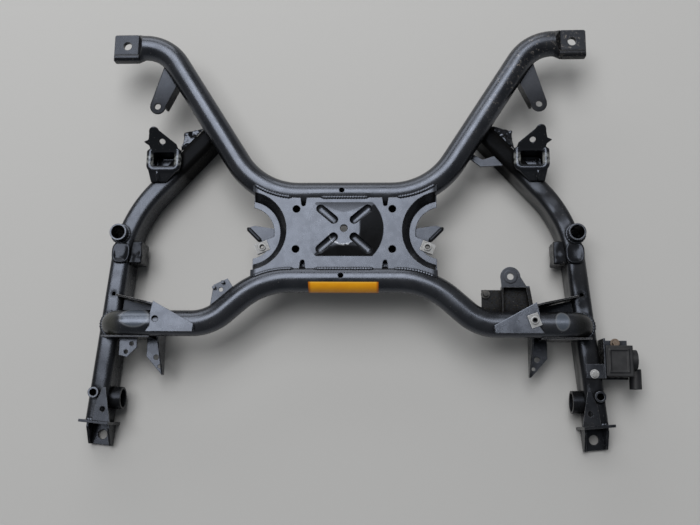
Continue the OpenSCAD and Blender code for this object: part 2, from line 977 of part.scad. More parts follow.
module sensor_bracket() {
    color("#1f2125") seated() difference() {
        union() {
            translate([sensor_x - 34, sensor_y - 4, rail_height])
                cube([34, 26, 2.5]);
            translate([sensor_x - sheet, sensor_y - 4, sensor_floor - sheet])
                cube([sheet, sensor_length + 18, sensor_top - sensor_floor]);
            translate([sensor_x - sheet, sensor_y - 4, sensor_floor - sheet])
                cube([sensor_width + 6, sensor_length + 18, sheet]);
        }
        rail_solid();
    }
}

module sensor_body() {
    color("#17191c") seated() translate([sensor_x, sensor_y, sensor_floor])
        cube([sensor_width, sensor_length, sensor_top - sensor_floor]);
}

module cap_envelope() {
    translate([sensor_x + sensor_width, sensor_y + 30, sensor_floor + 22])
        rotate([0, 90, 0])
            cylinder(d = 38, h = 12);
}

module sensor_cap() {
    color("#141517") seated() cap_envelope();
}

module sensor_plug() {
    color("#141517") seated() difference() {
        translate([sensor_x + sensor_width + 12, sensor_y + 14, sensor_floor + 12])
            rotate([90, 0, 0]) difference() {
                cylinder(d = 22, h = 36);
                translate([0, 0, 22]) cylinder(d = 16, h = 30);
            }
        cap_envelope();
    }
}

module sensor_bolt() {
    color("#7a4a2e") seated() translate([sensor_x + 28, sensor_y + sensor_length + 9, sensor_floor]) {
        cylinder(d = 17, h = 2.5);
        cylinder(d = 13, h = 10, $fn = 6);
    }
}

module sensor_screw() {
    color("#c4c6c8") seated() translate([sensor_x - 20, sensor_y + 4, rail_height + 2.5]) {
        cylinder(d = 16, h = 2);
        cylinder(d = 10, h = 6);
    }
}

module marker_strip() {
    color("#b07a2a") seated() translate([-64, rear_y, rear_axis])
        rotate([90, 0, 90])
            linear_extrude(128) intersection() {
                difference() {
                    circle(d = tube_od + 1.6);
                    circle(d = tube_od + 0.4);
                }
                polygon([[0, 0], [-40, -8], [-40, 40], [-14, 40]]);
            }
}

front_tube();
rear_tube();
centre_plate_upper();
centre_plate_lower();
flange_tab_left();
flange_tab_right();
clip_nuts();
side_rail_left();
side_rail_right();
body_sleeve_left();
body_sleeve_right();
rear_sleeve_left();
rear_sleeve_right();
cup_bracket_left();
cup_bracket_right();
rail_collar_left();
rail_collar_right();
front_gusset_left();
front_gusset_right();
tube_gusset_left();
tube_gusset_right();
saddle_front_left();
saddle_front_right();
saddle_rear_left();
saddle_rear_right();
rear_tab_left();
rear_tab_right();
side_tab_left();
pocket_bracket_left();
pocket_bracket_right();
end_plate_left();
end_plate_right();
end_lug_left();
end_lug_right();
end_gusset_left();
end_gusset_right();
bush_housing_left();
bush_housing_right();
box_bracket();
box_stud();
hose_bracket();
rail_strap();
sensor_bracket();
sensor_body();
sensor_cap();
sensor_plug();
sensor_bolt();
sensor_screw();
marker_strip();
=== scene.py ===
import json
import math

import bmesh
import bpy
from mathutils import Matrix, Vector


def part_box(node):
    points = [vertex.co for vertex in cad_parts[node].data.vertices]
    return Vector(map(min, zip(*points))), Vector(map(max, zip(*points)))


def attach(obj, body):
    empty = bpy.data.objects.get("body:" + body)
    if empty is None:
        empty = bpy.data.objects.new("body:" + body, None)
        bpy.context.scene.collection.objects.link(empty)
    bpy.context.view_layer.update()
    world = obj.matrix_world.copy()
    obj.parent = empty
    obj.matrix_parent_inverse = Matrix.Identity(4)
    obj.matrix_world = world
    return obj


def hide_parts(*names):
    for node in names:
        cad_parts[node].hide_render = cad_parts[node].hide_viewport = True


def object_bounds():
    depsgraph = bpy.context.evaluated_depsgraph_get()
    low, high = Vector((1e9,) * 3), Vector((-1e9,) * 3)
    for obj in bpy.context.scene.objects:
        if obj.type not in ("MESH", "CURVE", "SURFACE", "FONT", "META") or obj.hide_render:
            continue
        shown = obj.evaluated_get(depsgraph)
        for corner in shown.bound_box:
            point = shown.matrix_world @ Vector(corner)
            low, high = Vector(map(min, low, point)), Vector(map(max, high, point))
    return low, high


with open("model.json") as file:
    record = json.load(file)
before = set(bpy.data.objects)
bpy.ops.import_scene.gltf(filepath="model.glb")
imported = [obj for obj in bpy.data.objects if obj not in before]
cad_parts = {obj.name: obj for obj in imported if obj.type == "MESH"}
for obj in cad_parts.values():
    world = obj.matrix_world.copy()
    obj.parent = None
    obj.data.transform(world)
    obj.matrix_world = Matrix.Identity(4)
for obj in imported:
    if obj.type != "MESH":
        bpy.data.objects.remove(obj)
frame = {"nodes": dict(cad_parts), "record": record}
nodes = frame["nodes"]
cad_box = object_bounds()

# The scene is in metres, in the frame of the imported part: origin at the centre hole, Z up.
# Named places and sizes are in mm unless they say otherwise.
MM = 0.001
GROUND = cad_box[0].z

# Places and sizes of the part's source; OUTER_Y is the line of the rear tube's outer ends
OUTER_Y = -174.4
NUT_PLACES = ((154.0, -30.0), (-154.0, -30.0), (342.0, OUTER_Y + 5.0))
NUT_BORE = 5.0
DISH_RADIUS = 73.0
DISH_HALF = 51.0
HUB_RADIUS = 30.0
GROOVE_TURN = math.radians(41.0)
GROOVE_MIDDLE = 41.5
GROOVE_HALF = 16.5
GROOVE_RADIUS = 8.0

# Where each mark of the paint starts and is complete, along one axis
PLATE_CORNER_X = (160.0, 166.0)
HUB_ARC_X = (16.0, 8.0)
HUB_ARC_Y = (-8.0, -18.0)
UNLIT_X = (118.0, 112.0)
UNLIT_Y = (58.0, 54.0)
CHIPPED_X = (200.0, 280.0)
CHIPPED_Y = (150.0, 280.0)
SHADED_ARM_X = (300.0, 400.0)
SHADED_LUG_X = (396.0, 408.0)
GUSSET_TIP_Y = (250.0, 315.0)
ELBOW_TONE_X = (408.0, 425.0)
ELBOW_TO_ELBOW_X = (-408.0, 408.0)
RAIL_FRONT_Y = (92.0, 122.0)
RAIL_REAR_Y = (-190.0, -230.0)
RIM_PATCH_NEAR_Y = (130.0, 136.0)
RIM_PATCH_FAR_Y = (156.0, 148.0)
RIM_PATCH_Z = (-40.0, -36.0)
BOX_POCKET_Y = (-106.0, -110.0)
STRIP_END_X = (59.0, 62.5)
STRIP_LOW_Z = (-16.5, -22.5)
STRIP_TOP_Z = (-0.8, 0.0)

# The painted sheen of the ovals on the rear tube: centre X and Y, half width, half depth
LEFT_OVAL = (-382.0, OUTER_Y + 8.0, 26.0, 17.0)
RIGHT_OVAL = (392.0, OUTER_Y + 4.0, 12.0, 16.0)

# The camera was found by matching points of the part with the photograph's 700 by 525 frame.
# Its place is in metres and its turn in degrees.
CAMERA_PLACE = (0.089, -0.356, 1.520)
CAMERA_TURN = (10.88, 2.78, 0.62)
CAMERA_LENS = 43.71
CAMERA_SENSOR = 36.0

# Floor and light, in metres. Each softbox has a name, place, width, height and radiance.
FLOOR_SIZE = 40.0
SOFTBOXES = (
    ("sky softbox", (-1.44, 2.45, 8.0), 7.0, 4.0, 6.3),
    ("sky panel", (-0.6, 3.2, 3.8), 3.0, 1.8, 4.2),
    ("far panel", (-0.9, 3.0, 0.9), 3.0, 1.4, 2.6),
)
WORLD_STRENGTH = 0.15


def rgb(r, g, b):
    """An opaque colour."""
    return (r, g, b, 1.0)


WORLD_COLOUR = rgb(0.92, 0.96, 1.0)
FLOOR_COLOUR = rgb(0.42, 0.417, 0.410)
PAINT_COLOUR = rgb(0.0055, 0.0058, 0.0066)
PAINT_TINT = rgb(0.74, 0.82, 1.0)
PAINT_IOR = 1.66
PAINT_SHINE = 0.50
# Shine of the painted shade in corners and grooves
PAINTED_SHADE_SHINE = 0.10
PAINT_DUST = rgb(0.075, 0.075, 0.078)
# Pale worn edges, which are partly a painted highlight
WORN_EDGE_AND_HIGHLIGHT = rgb(0.30, 0.30, 0.31)
BARE_CHIP = rgb(0.30, 0.28, 0.26)
BARE_ARM = rgb(0.20, 0.18, 0.16)
# A painted glint beside the hub of the dish
HUB_PAINTED_GLINT = rgb(0.5, 0.52, 0.55)
PALE_RIM = rgb(0.32, 0.33, 0.32)
GRIT = rgb(0.085, 0.075, 0.060)
ELBOW_TONE = rgb(0.060, 0.060, 0.050)
# Painted sheen inside the ovals of the rear tube and painted highlight on their rims
OVAL_SHEEN = rgb(0.100, 0.120, 0.150)
OVAL_RIM_HIGHLIGHT = rgb(0.20, 0.21, 0.22)
# Black of the painted shade in corners and at the front ends of the rails
PAINTED_SHADE_BLACK = rgb(0.004, 0.004, 0.004)
# Black of the painted shade and dark reflections on the dish
DISH_PAINTED_SHADE = rgb(0.005, 0.005, 0.005)
UNLIT_BLACK = rgb(0.002, 0.002, 0.002)


class Nodes:
    """A material's node tree with short ways to add and join its nodes."""

    def __init__(self, name):
        self.material = bpy.data.materials.new(name)
        self.material.use_nodes = True
        self.tree = self.material.node_tree
        self.shader = self.tree.nodes["Principled BSDF"]
        coord = self.tree.nodes.new("ShaderNodeTexCoord")
        self.place = coord.outputs["Object"]

    def add(self, kind, **sockets):
        """A new node with its named inputs set or joined."""
        node = self.tree.nodes.new(kind)
        for name, value in sockets.items():
            self.feed(node.inputs[name.replace("_", " ")], value)
        return node

    def feed(self, socket, value):
        """Join a socket to an output, or set it to a constant."""
        if isinstance(value, bpy.types.NodeSocket):
            self.tree.links.new(value, socket)
        else:
            socket.default_value = value

    def noise(self, scale, detail=3.0, rough=0.55):
        """Noise fixed to the part, with a scale in cells per metre."""
        node = self.add("ShaderNodeTexNoise", Vector=self.place, Scale=scale, Detail=detail, Roughness=rough)
        return node.outputs["Fac"]

    def span(self, value, low, high, to_low=0.0, to_high=1.0):
        """Map low to to_low and high to to_high, and clamp the rest."""
        node = self.add("ShaderNodeMapRange", Value=value)
        node.inputs["From Min"].default_value = low
        node.inputs["From Max"].default_value = high
        node.inputs["To Min"].default_value = to_low
        node.inputs["To Max"].default_value = to_high
        return node.outputs["Result"]

    def math(self, how, a, b=0.0):
        node = self.tree.nodes.new("ShaderNodeMath")
        node.operation = how
        self.feed(node.inputs[0], a)
        self.feed(node.inputs[1], b)
        return node.outputs[0]

    def mix(self, share, a, b):
        """Colour a where the share is zero and colour b where it is one."""
        node = self.tree.nodes.new("ShaderNodeMix")
        node.data_type = "RGBA"
        self.feed(node.inputs[0], share)
        self.feed(node.inputs[6], a)
        self.feed(node.inputs[7], b)
        return node.outputs[2]

    def axes(self):
        """The place along X, Y and Z in the frame of the part, in mm."""
        scaled = self.tree.nodes.new("ShaderNodeVectorMath")
        scaled.operation = "SCALE"
        self.feed(scaled.inputs["Vector"], self.place)
        scaled.inputs["Scale"].default_value = 1.0 / MM
        split = self.add("ShaderNodeSeparateXYZ", Vector=scaled.outputs["Vector"])
        return split.outputs["X"], split.outputs["Y"], split.outputs["Z"]

    def length(self, a, b):
        squares = self.math("ADD", self.math("MULTIPLY", a, a), self.math("MULTIPLY", b, b))
        return self.math("SQRT", squares)

    def apart(self, a, b):
        """How far two values are apart, without a sign."""
        return self.math("ABSOLUTE", self.math("SUBTRACT", a, b))

    def far_from(self, x, y, wide=1.0, deep=1.0):
        """Plan distance from a point in mm, in shares of a width and a depth."""
        here_x, here_y, _ = self.axes()
        off_x = self.math("SUBTRACT", here_x, x)
        off_y = self.math("SUBTRACT", here_y, y)
        return self.length(self.math("DIVIDE", off_x, wide), self.math("DIVIDE", off_y, deep))

    def both(self, *shares):
        """The product of shares: one only where all of them are."""
        result = shares[0]
        for share in shares[1:]:
            result = self.math("MULTIPLY", result, share)
        return result

    def up(self):
        """How far the surface faces up, from -1 to 1."""
        geometry = self.tree.nodes.new("ShaderNodeNewGeometry")
        split = self.add("ShaderNodeSeparateXYZ", Vector=geometry.outputs["Normal"])
        return split.outputs["Z"]

    def round_edges(self, radius):
        """The surface normal with edges rounded to the given radius in metres."""
        node = self.add("ShaderNodeBevel", Radius=radius)
        node.samples = 6
        return node.outputs["Normal"]

    def edge_share(self, rounded):
        """One on sharp edges and zero elsewhere."""
        flat = self.tree.nodes.new("ShaderNodeNewGeometry").outputs["Normal"]
        dot = self.tree.nodes.new("ShaderNodeVectorMath")
        dot.operation = "DOT_PRODUCT"
        self.feed(dot.inputs[0], rounded)
        self.feed(dot.inputs[1], flat)
        return self.span(dot.outputs["Value"], 0.985, 0.90)

    def open_share(self, distance):
        """One in the open and zero deep in a corner or groove."""
        node = self.add("ShaderNodeAmbientOcclusion", Distance=distance)
        node.samples = 8
        return node.outputs["AO"]

    def bump(self, height, strength, distance, normal=None):
        node = self.add("ShaderNodeBump", Height=height, Strength=strength, Distance=distance)
        if normal is not None:
            self.feed(node.inputs["Normal"], normal)
        self.feed(self.shader.inputs["Normal"], node.outputs["Normal"])

    def set(self, **sockets):
        """Set or join the shader's own inputs."""
        for name, value in sockets.items():
            self.feed(self.shader.inputs[name.replace("_", " ")], value)


def black_paint(
    name, dust=0.22, edge_wear_and_highlight=0.30, rub=0.40, marks=None, waves=0.0, gloss=1.0, rough=0.22, soft_edge=1.4
):
    """Satin black paint with thin dust on what faces up, worn edges with painted highlights, chips, and
    painted shade that turns corners black and dull.

    dust and edge_wear_and_highlight are shares, edges wear and take a painted highlight where noise
    passes rub, waves is the depth of slow dents, gloss scales the shine, and soft_edge is the radius of
    edges in mm. marks adds the looks of one node: it takes the material and its colour, shine and height so
    far, and returns the last three.
    """
    m = Nodes(name)
    rounded = m.round_edges(soft_edge * MM)
    # Painted shade: where ambient occlusion finds a corner or groove, the paint turns black and loses its
    # shine.
    outside_painted_shade = m.span(m.open_share(12.0 * MM), 0.35, 0.85)
    patchy = m.span(m.noise(14.0), 0.35, 0.70)
    cover = m.math("MULTIPLY", m.span(m.up(), 0.4, 1.0), patchy)
    dusty = m.mix(m.math("MULTIPLY", cover, dust), PAINT_COLOUR, PAINT_DUST)
    # Worn edges, partly a painted highlight: rounded edges turn pale where noise passes rub.
    on_edge = m.edge_share(m.round_edges(1.4 * MM))
    rubbed = m.math("MULTIPLY", on_edge, m.span(m.noise(90.0), rub, rub + 0.20))
    edged = m.mix(m.math("MULTIPLY", rubbed, edge_wear_and_highlight), dusty, WORN_EDGE_AND_HIGHLIGHT)
    chips = m.span(m.noise(420.0, detail=2.0), 0.72, 0.74)
    worn = m.mix(m.math("MULTIPLY", chips, 0.40), edged, BARE_CHIP)
    colour = m.mix(outside_painted_shade, PAINTED_SHADE_BLACK, worn)
    shine = m.span(outside_painted_shade, 0.0, 1.0, PAINTED_SHADE_SHINE, PAINT_SHINE * gloss)
    height = m.math("MULTIPLY", m.noise(700.0, detail=2.0), 0.006)
    if waves:
        height = m.math("ADD", height, m.math("MULTIPLY", m.noise(16.0, detail=1.0), waves))
    if marks:
        colour, shine, height = marks(m, colour, shine, height)
    # The export drops a linked specular level and keeps the constant that is set first.
    m.set(Specular_IOR_Level=PAINT_SHINE * gloss)
    m.set(Base_Color=colour, Specular_IOR_Level=shine)
    m.set(Roughness=m.span(m.noise(60.0), 0.3, 0.7, rough, rough + 0.10))
    m.set(IOR=PAINT_IOR, Specular_Tint=PAINT_TINT)
    m.bump(height, 1.0, 2.0 * MM, rounded)
    return m.material


def dished_plate(m, colour, shine, height):
    """The dish of the upper plate: round grooves, three faces darkened by painted shade and painted dark
    reflections, and a painted glint in an arc by the hub.

    The corners of the plate, past the side cuts, are darkened by painted shade as well.
    """
    x, y, _ = m.axes()
    side_x = m.math("ABSOLUTE", x)
    side_y = m.math("ABSOLUTE", y)
    c = math.cos(GROOVE_TURN)
    s = math.sin(GROOVE_TURN)
    along = m.math("ADD", m.math("MULTIPLY", side_x, c), m.math("MULTIPLY", side_y, s))
    across = m.math("SUBTRACT", m.math("MULTIPLY", side_y, c), m.math("MULTIPLY", side_x, s))
    past_end = m.math("SUBTRACT", m.apart(along, GROOVE_MIDDLE), GROOVE_HALF)
    from_line = m.length(m.math("MAXIMUM", past_end, 0.0), across)
    hollow = m.span(m.math("POWER", from_line, 2.0), GROOVE_RADIUS**2, 0.0)
    from_hub = m.length(x, y)
    in_round = m.span(from_hub, DISH_RADIUS + 0.6, DISH_RADIUS - 0.6)
    in_band = m.span(side_y, DISH_HALF + 0.6, DISH_HALF - 0.6)
    on_dish = m.both(in_round, in_band)
    off_groove = m.span(from_line, GROOVE_RADIUS - 0.5, GROOVE_RADIUS + 0.5)
    on_face = m.both(on_dish, off_groove)
    beside_hub = m.span(across, 0.5, -0.5)
    before_hub = m.span(across, -0.5, 0.5)
    right = m.both(on_face, beside_hub, m.span(x, HUB_RADIUS - 3.0, HUB_RADIUS + 1.0))
    near = m.both(on_face, before_hub, m.span(y, -HUB_RADIUS, -HUB_RADIUS - 4.0))
    far = m.both(on_face, before_hub, m.span(y, HUB_RADIUS, DISH_HALF))
    corner = m.span(side_x, *PLATE_CORNER_X)
    # Painted shade and dark reflections: the right, near and far faces of the dish and the plate's corners
    # turn black and lose their shine.
    dark = m.math("MAXIMUM", m.math("MULTIPLY", right, 0.93), m.math("MULTIPLY", near, 0.85))
    dark = m.math("MAXIMUM", dark, m.math("MULTIPLY", far, 0.65))
    dark = m.math("MAXIMUM", dark, m.math("MULTIPLY", corner, 0.85))
    # A painted glint: a pale speckled arc beside the hub.
    on_arc = m.span(m.apart(from_hub, HUB_RADIUS), 2.4, 1.0)
    speckle = m.span(m.noise(160.0), 0.42, 0.52)
    arc = m.both(on_arc, m.span(y, *HUB_ARC_Y), m.span(x, *HUB_ARC_X), speckle)
    shaded = m.mix(dark, colour, DISH_PAINTED_SHADE)
    lit = m.mix(m.math("MULTIPLY", arc, 0.75), shaded, HUB_PAINTED_GLINT)
    dulled = m.math("MULTIPLY", shine, m.span(dark, 1.0, 0.0))
    return lit, dulled, m.math("SUBTRACT", height, m.math("MULTIPLY", hollow, 1.3))


def unlit_inside(m, colour, shine, height):
    """The lower plate under the upper one, which little light reaches."""
    x, y, _ = m.axes()
    inside = m.both(m.span(m.math("ABSOLUTE", x), *UNLIT_X), m.span(m.math("ABSOLUTE", y), *UNLIT_Y))
    dulled = m.math("MULTIPLY", shine, m.span(inside, 1.0, 0.0))
    return m.mix(inside, colour, UNLIT_BLACK), dulled, height


def chipped_arm(m, colour, shine, height):
    """Chips along the right arm of the front tube, and less shine at its right end and on both lugs, which
    paints their shade.
    """
    x, y, _ = m.axes()
    place = m.both(m.span(x, *CHIPPED_X), m.span(y, *CHIPPED_Y))
    spots = m.span(m.noise(150.0, detail=6.0, rough=0.75), 0.58, 0.63)
    share = m.both(place, spots, 0.75)
    # Painted shade: the shine drops towards the right end of the arm and on both lugs.
    shaded_shine = m.math("MULTIPLY", shine, m.span(x, *SHADED_ARM_X, 1.0, 0.60))
    lug = m.span(m.math("ABSOLUTE", x), *SHADED_LUG_X, 1.0, 0.45)
    return m.mix(share, colour, BARE_ARM), m.math("MULTIPLY", shaded_shine, lug), height


def shaded_tip(m, colour, shine, height):
    """The front gussets, whose shine drops towards their tips: painted shade."""
    _, y, _ = m.axes()
    return colour, m.math("MULTIPLY", shine, m.span(y, *GUSSET_TIP_Y, 0.25, 1.0)), height


def oval_press(m, colour, shine, height):
    """The painted sheen and painted rim highlight of the pressed oval beside each end of the rear tube, and
    an olive-grey tone on its elbows.

    The left elbow has the stronger tone. Both elbows lose shine, the right one most, which paints their
    shade.
    """
    from_oval = m.math("MINIMUM", m.far_from(*LEFT_OVAL), m.far_from(*RIGHT_OVAL))
    oval = m.span(from_oval, 1.1, 0.85)
    rim = m.span(m.apart(from_oval, 1.0), 0.14, 0.02)
    x, _, _ = m.axes()
    # film marks the elbows, which get an olive-grey tone that is strongest on the left
    film = m.span(m.math("ABSOLUTE", x), *ELBOW_TONE_X)
    elbow_tone_share = m.both(film, m.span(x, *ELBOW_TO_ELBOW_X, 0.55, 0.12))
    elbow_toned = m.mix(elbow_tone_share, colour, ELBOW_TONE)
    # Painted sheen inside each oval and a painted highlight along its rim.
    pressed = m.mix(m.math("MULTIPLY", oval, 0.5), elbow_toned, OVAL_SHEEN)
    edged = m.mix(m.math("MULTIPLY", rim, 0.35), pressed, OVAL_RIM_HIGHLIGHT)
    # Painted shade: the elbows lose shine, the right one most.
    dulled = m.both(film, m.span(x, *ELBOW_TO_ELBOW_X, 0.55, 0.80))
    return edged, m.math("MULTIPLY", shine, m.math("SUBTRACT", 1.0, dulled)), height


def shaded_front(m, colour, shine, height):
    """Painted shade: both ends of each rail throw back less light than the middle, and the front end is
    painted black.
    """
    _, y, _ = m.axes()
    ahead = m.span(y, *RAIL_FRONT_Y)
    darker = m.mix(m.math("MULTIPLY", ahead, 0.9), colour, PAINTED_SHADE_BLACK)
    front = m.span(ahead, 0.0, 1.0, 1.0, 0.04)
    rear = m.span(y, *RAIL_REAR_Y, 1.0, 0.60)
    return darker, m.both(shine, front, rear), height


def crumpled(m, colour, shine, height):
    """Sheet folded by hand round a tube, with bright folds."""
    folds = m.math("MULTIPLY", m.noise(48.0, detail=0.0), 7.0)
    return colour, shine, m.math("ADD", height, folds)


def pale_rim_patches(m, colour, shine, height):
    """Paler patches on both sides of the rim of each cup."""
    _, y, z = m.axes()
    side = m.both(m.span(y, *RIM_PATCH_NEAR_Y), m.span(y, *RIM_PATCH_FAR_Y), m.span(z, *RIM_PATCH_Z))
    patch = m.both(side, m.span(m.noise(130.0), 0.40, 0.60), 0.55)
    return m.mix(patch, colour, PALE_RIM), shine, height


def caked_pocket(m, colour, shine, height):
    """Grit lying in the pocket of the box bracket."""
    _, y, _ = m.axes()
    inside = m.span(y, *BOX_POCKET_Y)
    grit = m.both(inside, m.span(m.noise(330.0, detail=6.0, rough=0.8), 0.52, 0.62))
    gritty = m.mix(m.math("MULTIPLY", grit, 0.7), colour, GRIT)
    dulled = m.math("MULTIPLY", shine, m.span(inside, 0.0, 1.0, 0.8, 0.12))
    return gritty, dulled, m.math("ADD", height, m.math("MULTIPLY", grit, 0.4))


def zinc():
    """Dull zinc plating with dark stains, edges made near white as a painted highlight, and nut bores made
    black as painted shade.
    """
    m = Nodes("zinc plate")
    rounded = m.round_edges(1.0 * MM)
    stain = m.span(m.noise(220.0), 0.45, 0.75)
    plain = m.mix(stain, rgb(0.27, 0.275, 0.28), rgb(0.15, 0.145, 0.135))
    # Painted highlight: the rounded edges turn near white.
    bright = m.mix(m.edge_share(rounded), plain, rgb(0.85, 0.86, 0.87))
    # Painted shade: a black disc over the bore of each nut.
    for x, y in NUT_PLACES:
        hole = m.span(m.far_from(x, y), NUT_BORE, NUT_BORE - 0.6)
        bright = m.mix(hole, bright, rgb(0.006, 0.006, 0.006))
    m.set(Base_Color=bright, Specular_IOR_Level=0.3)
    m.set(Roughness=m.span(m.noise(300.0), 0.3, 0.7, 0.38, 0.52))
    m.bump(m.noise(900.0), 0.1, 0.3 * MM, rounded)
    return m.material


def rust():
    """Brown rust with paler spots."""
    m = Nodes("rusty steel")
    spots = m.span(m.noise(260.0, detail=6.0), 0.35, 0.65)
    m.set(Base_Color=m.mix(spots, rgb(0.10, 0.062, 0.038), rgb(0.16, 0.13, 0.105)))
    m.set(Roughness=0.75)
    m.bump(m.noise(700.0, detail=5.0), 0.35, 0.6 * MM)
    return m.material


def plastic():
    """Matt black plastic with dust on top and pale edges."""
    m = Nodes("black plastic")
    dust = m.math("MULTIPLY", m.span(m.up(), 0.3, 1.0), m.span(m.noise(45.0), 0.35, 0.7))
    dusty = m.mix(m.math("MULTIPLY", dust, 0.16), rgb(0.008, 0.0085, 0.010), rgb(0.09, 0.09, 0.095))
    rounded = m.round_edges(1.2 * MM)
    pale = m.math("MULTIPLY", m.edge_share(rounded), 0.45)
    m.set(Base_Color=m.mix(pale, dusty, rgb(0.12, 0.13, 0.14)))
    m.set(Roughness=m.span(m.noise(120.0), 0.3, 0.7, 0.42, 0.58))
    m.set(Specular_IOR_Level=0.30)
    m.bump(m.noise(1400.0), 0.15, 0.3 * MM, rounded)
    return m.material


def rubber():
    """Dusty black rubber."""
    m = Nodes("black rubber")
    dust = m.math("MULTIPLY", m.span(m.noise(180.0), 0.4, 0.7), 0.4)
    m.set(Base_Color=m.mix(dust, rgb(0.03, 0.03, 0.03), rgb(0.16, 0.15, 0.14)))
    m.set(Roughness=0.8)
    m.bump(m.noise(900.0), 0.2, 0.4 * MM)
    return m.material


def amber():
    """A plain amber film with dark ends and a dark lower edge; it carries no marks."""
    m = Nodes("amber film")
    x, _, z = m.axes()
    end = m.span(m.math("ABSOLUTE", x), *STRIP_END_X)
    film = m.mix(m.noise(60.0), rgb(0.86, 0.40, 0.010), rgb(0.74, 0.28, 0.008))
    low = m.span(z, *STRIP_LOW_Z)
    lit_edge = m.mix(m.span(z, *STRIP_TOP_Z), film, rgb(0.80, 0.44, 0.05))
    m.set(Base_Color=m.mix(m.math("MAXIMUM", end, low), lit_edge, rgb(0.45, 0.13, 0.005)))
    m.set(Roughness=m.span(m.noise(200.0), 0.3, 0.7, 0.30, 0.42))
    m.set(Specular_IOR_Level=0.25)
    m.bump(m.noise(500.0), 0.08, 0.3 * MM)
    return m.material


def pale_floor():
    m = Nodes("pale floor")
    m.set(Base_Color=FLOOR_COLOUR, Roughness=0.9)
    return m.material


# The finish of each material slot of the record, then the paints of nodes that look different
paint = black_paint("satin black paint")
finishes = {
    "black_paint": paint,
    "zinc": zinc(),
    "rusty_steel": rust(),
    "black_rubber": rubber(),
    "black_plastic": plastic(),
    "amber_film": amber(),
}
rail_look = {"marks": shaded_front, "soft_edge": 9.0}
left_rail_paint = black_paint("left rail paint", waves=2.0, gloss=0.78, **rail_look)
# The right rail's paint is a copy with less shine than the left rail's: painted shade.
shaded_right_rail_paint = black_paint("shaded right rail paint", waves=4.0, gloss=0.48, rough=0.15, **rail_look)
cup_paint = black_paint("cup paint", dust=0.06, gloss=0.60, rough=0.12, marks=pale_rim_patches)
collar_paint = black_paint("collar paint", dust=0.06, gloss=0.75, rough=0.12, marks=crumpled)
low_paint = black_paint("low paint", dust=0.06, gloss=0.22, waves=1.6)
scoop_paint = black_paint("scoop paint", dust=0.04, gloss=0.34, rough=0.14)
sheet_paint = black_paint("bracket paint", edge_wear_and_highlight=0.60, gloss=0.70)
end_paint = black_paint("rail end paint", dust=0.12, edge_wear_and_highlight=0.40, gloss=0.45)
# The saddles' low shine is partly painted shade.
shaded_saddle_paint = black_paint("shaded saddle paint", dust=0.08, edge_wear_and_highlight=1.0, rub=0.25, gloss=0.25)
own_paint = {
    "centre_plate_upper": black_paint("plate paint", dust=0.18, marks=dished_plate),
    "centre_plate_lower": black_paint("lower plate paint", marks=unlit_inside),
    "front_tube": black_paint("front tube paint", marks=chipped_arm),
    "rear_tube": black_paint("rear tube paint", marks=oval_press),
    "front_gusset_left": black_paint("left gusset paint", marks=shaded_tip, soft_edge=3.0, gloss=0.42),
    "front_gusset_right": black_paint("right gusset paint", dust=0.30, marks=shaded_tip, gloss=0.30),
    # Painted highlight: this gusset has twice the shine of the satin paint.
    "tube_gusset_right": black_paint("right tube gusset paint with painted highlight", gloss=2.0),
    "rail_strap": black_paint("strap paint", gloss=0.6),
    "box_bracket": black_paint("box bracket paint", dust=0.30, marks=caked_pocket, gloss=0.7),
}
# Paints of nodes by how their names start
paint_of_kind = {
    "side_rail_left": left_rail_paint,
    "side_rail_right": shaded_right_rail_paint,
    "cup_bracket_": cup_paint,
    "rail_collar_": collar_paint,
    "bush_": low_paint,
    "pocket_": low_paint,
    "saddle_": shaded_saddle_paint,
    "rear_tab_": sheet_paint,
    "side_tab_": sheet_paint,
    "end_": end_paint,
    "hose_": sheet_paint,
    "flange_tab_": sheet_paint,
}
slot_of = {part["node"]: part["material_slot"] for part in frame["record"]["subparts"]}

for name, part in nodes.items():
    finish = own_paint.get(name, finishes[slot_of[name]])
    for start, kind_paint in paint_of_kind.items():
        if name.startswith(start):
            finish = kind_paint
    part.data.materials.clear()
    part.data.materials.append(finish)


# Paths and beads. A bead is a tube wider than high, which thins out over its first and last rings.
PATH_STEP = 1.5
BEAD_WIDTH = 1.25
BEAD_TIP = 0.35
BEAD_TIP_STEP = 0.25


def line_path(a, b):
    """Points in mm on a straight line from a to b."""
    steps = max(6, int((Vector(b) - Vector(a)).length / PATH_STEP))
    return [tuple(Vector(a).lerp(Vector(b), i / steps)) for i in range(steps + 1)]


def mirror_path(path):
    """The same path on the other side of the part."""
    return [(-x, y, z) for x, y, z in path]


def bead_shape(path, radius, ripple=0.18, pitch=5.0, sides=10):
    """Points and faces of a bead along a path in mm; its ripple repeats every pitch along it."""
    points = [Vector(p) for p in path]
    rings = []
    run = 0.0
    for i, point in enumerate(points):
        ahead = points[min(i + 1, len(points) - 1)] - points[max(i - 1, 0)]
        along = ahead.normalized()
        across = along.cross(Vector((0.0, 0.0, 1.0))).normalized()
        lift = across.cross(along)
        if i:
            run += (point - points[i - 1]).length
        taper = min(1.0, BEAD_TIP + BEAD_TIP_STEP * min(i, len(points) - 1 - i))
        size = radius * taper * (1.0 + ripple * math.sin(2.0 * math.pi * run / pitch))
        ring = []
        for k in range(sides):
            turn = 2.0 * math.pi * k / sides
            off = across * (BEAD_WIDTH * size * math.cos(turn))
            rise = lift * (size * math.sin(turn))
            ring.append((point + off + rise) * MM)
        rings.append(ring)
    verts = [v for ring in rings for v in ring]
    faces = []
    for i in range(len(rings) - 1):
        for k in range(sides):
            n = (k + 1) % sides
            faces.append((i * sides + k, (i + 1) * sides + k, (i + 1) * sides + n, i * sides + n))
    faces.append(tuple(range(sides)))
    faces.append(tuple((len(rings) - 1) * sides + k for k in reversed(range(sides))))
    return verts, faces


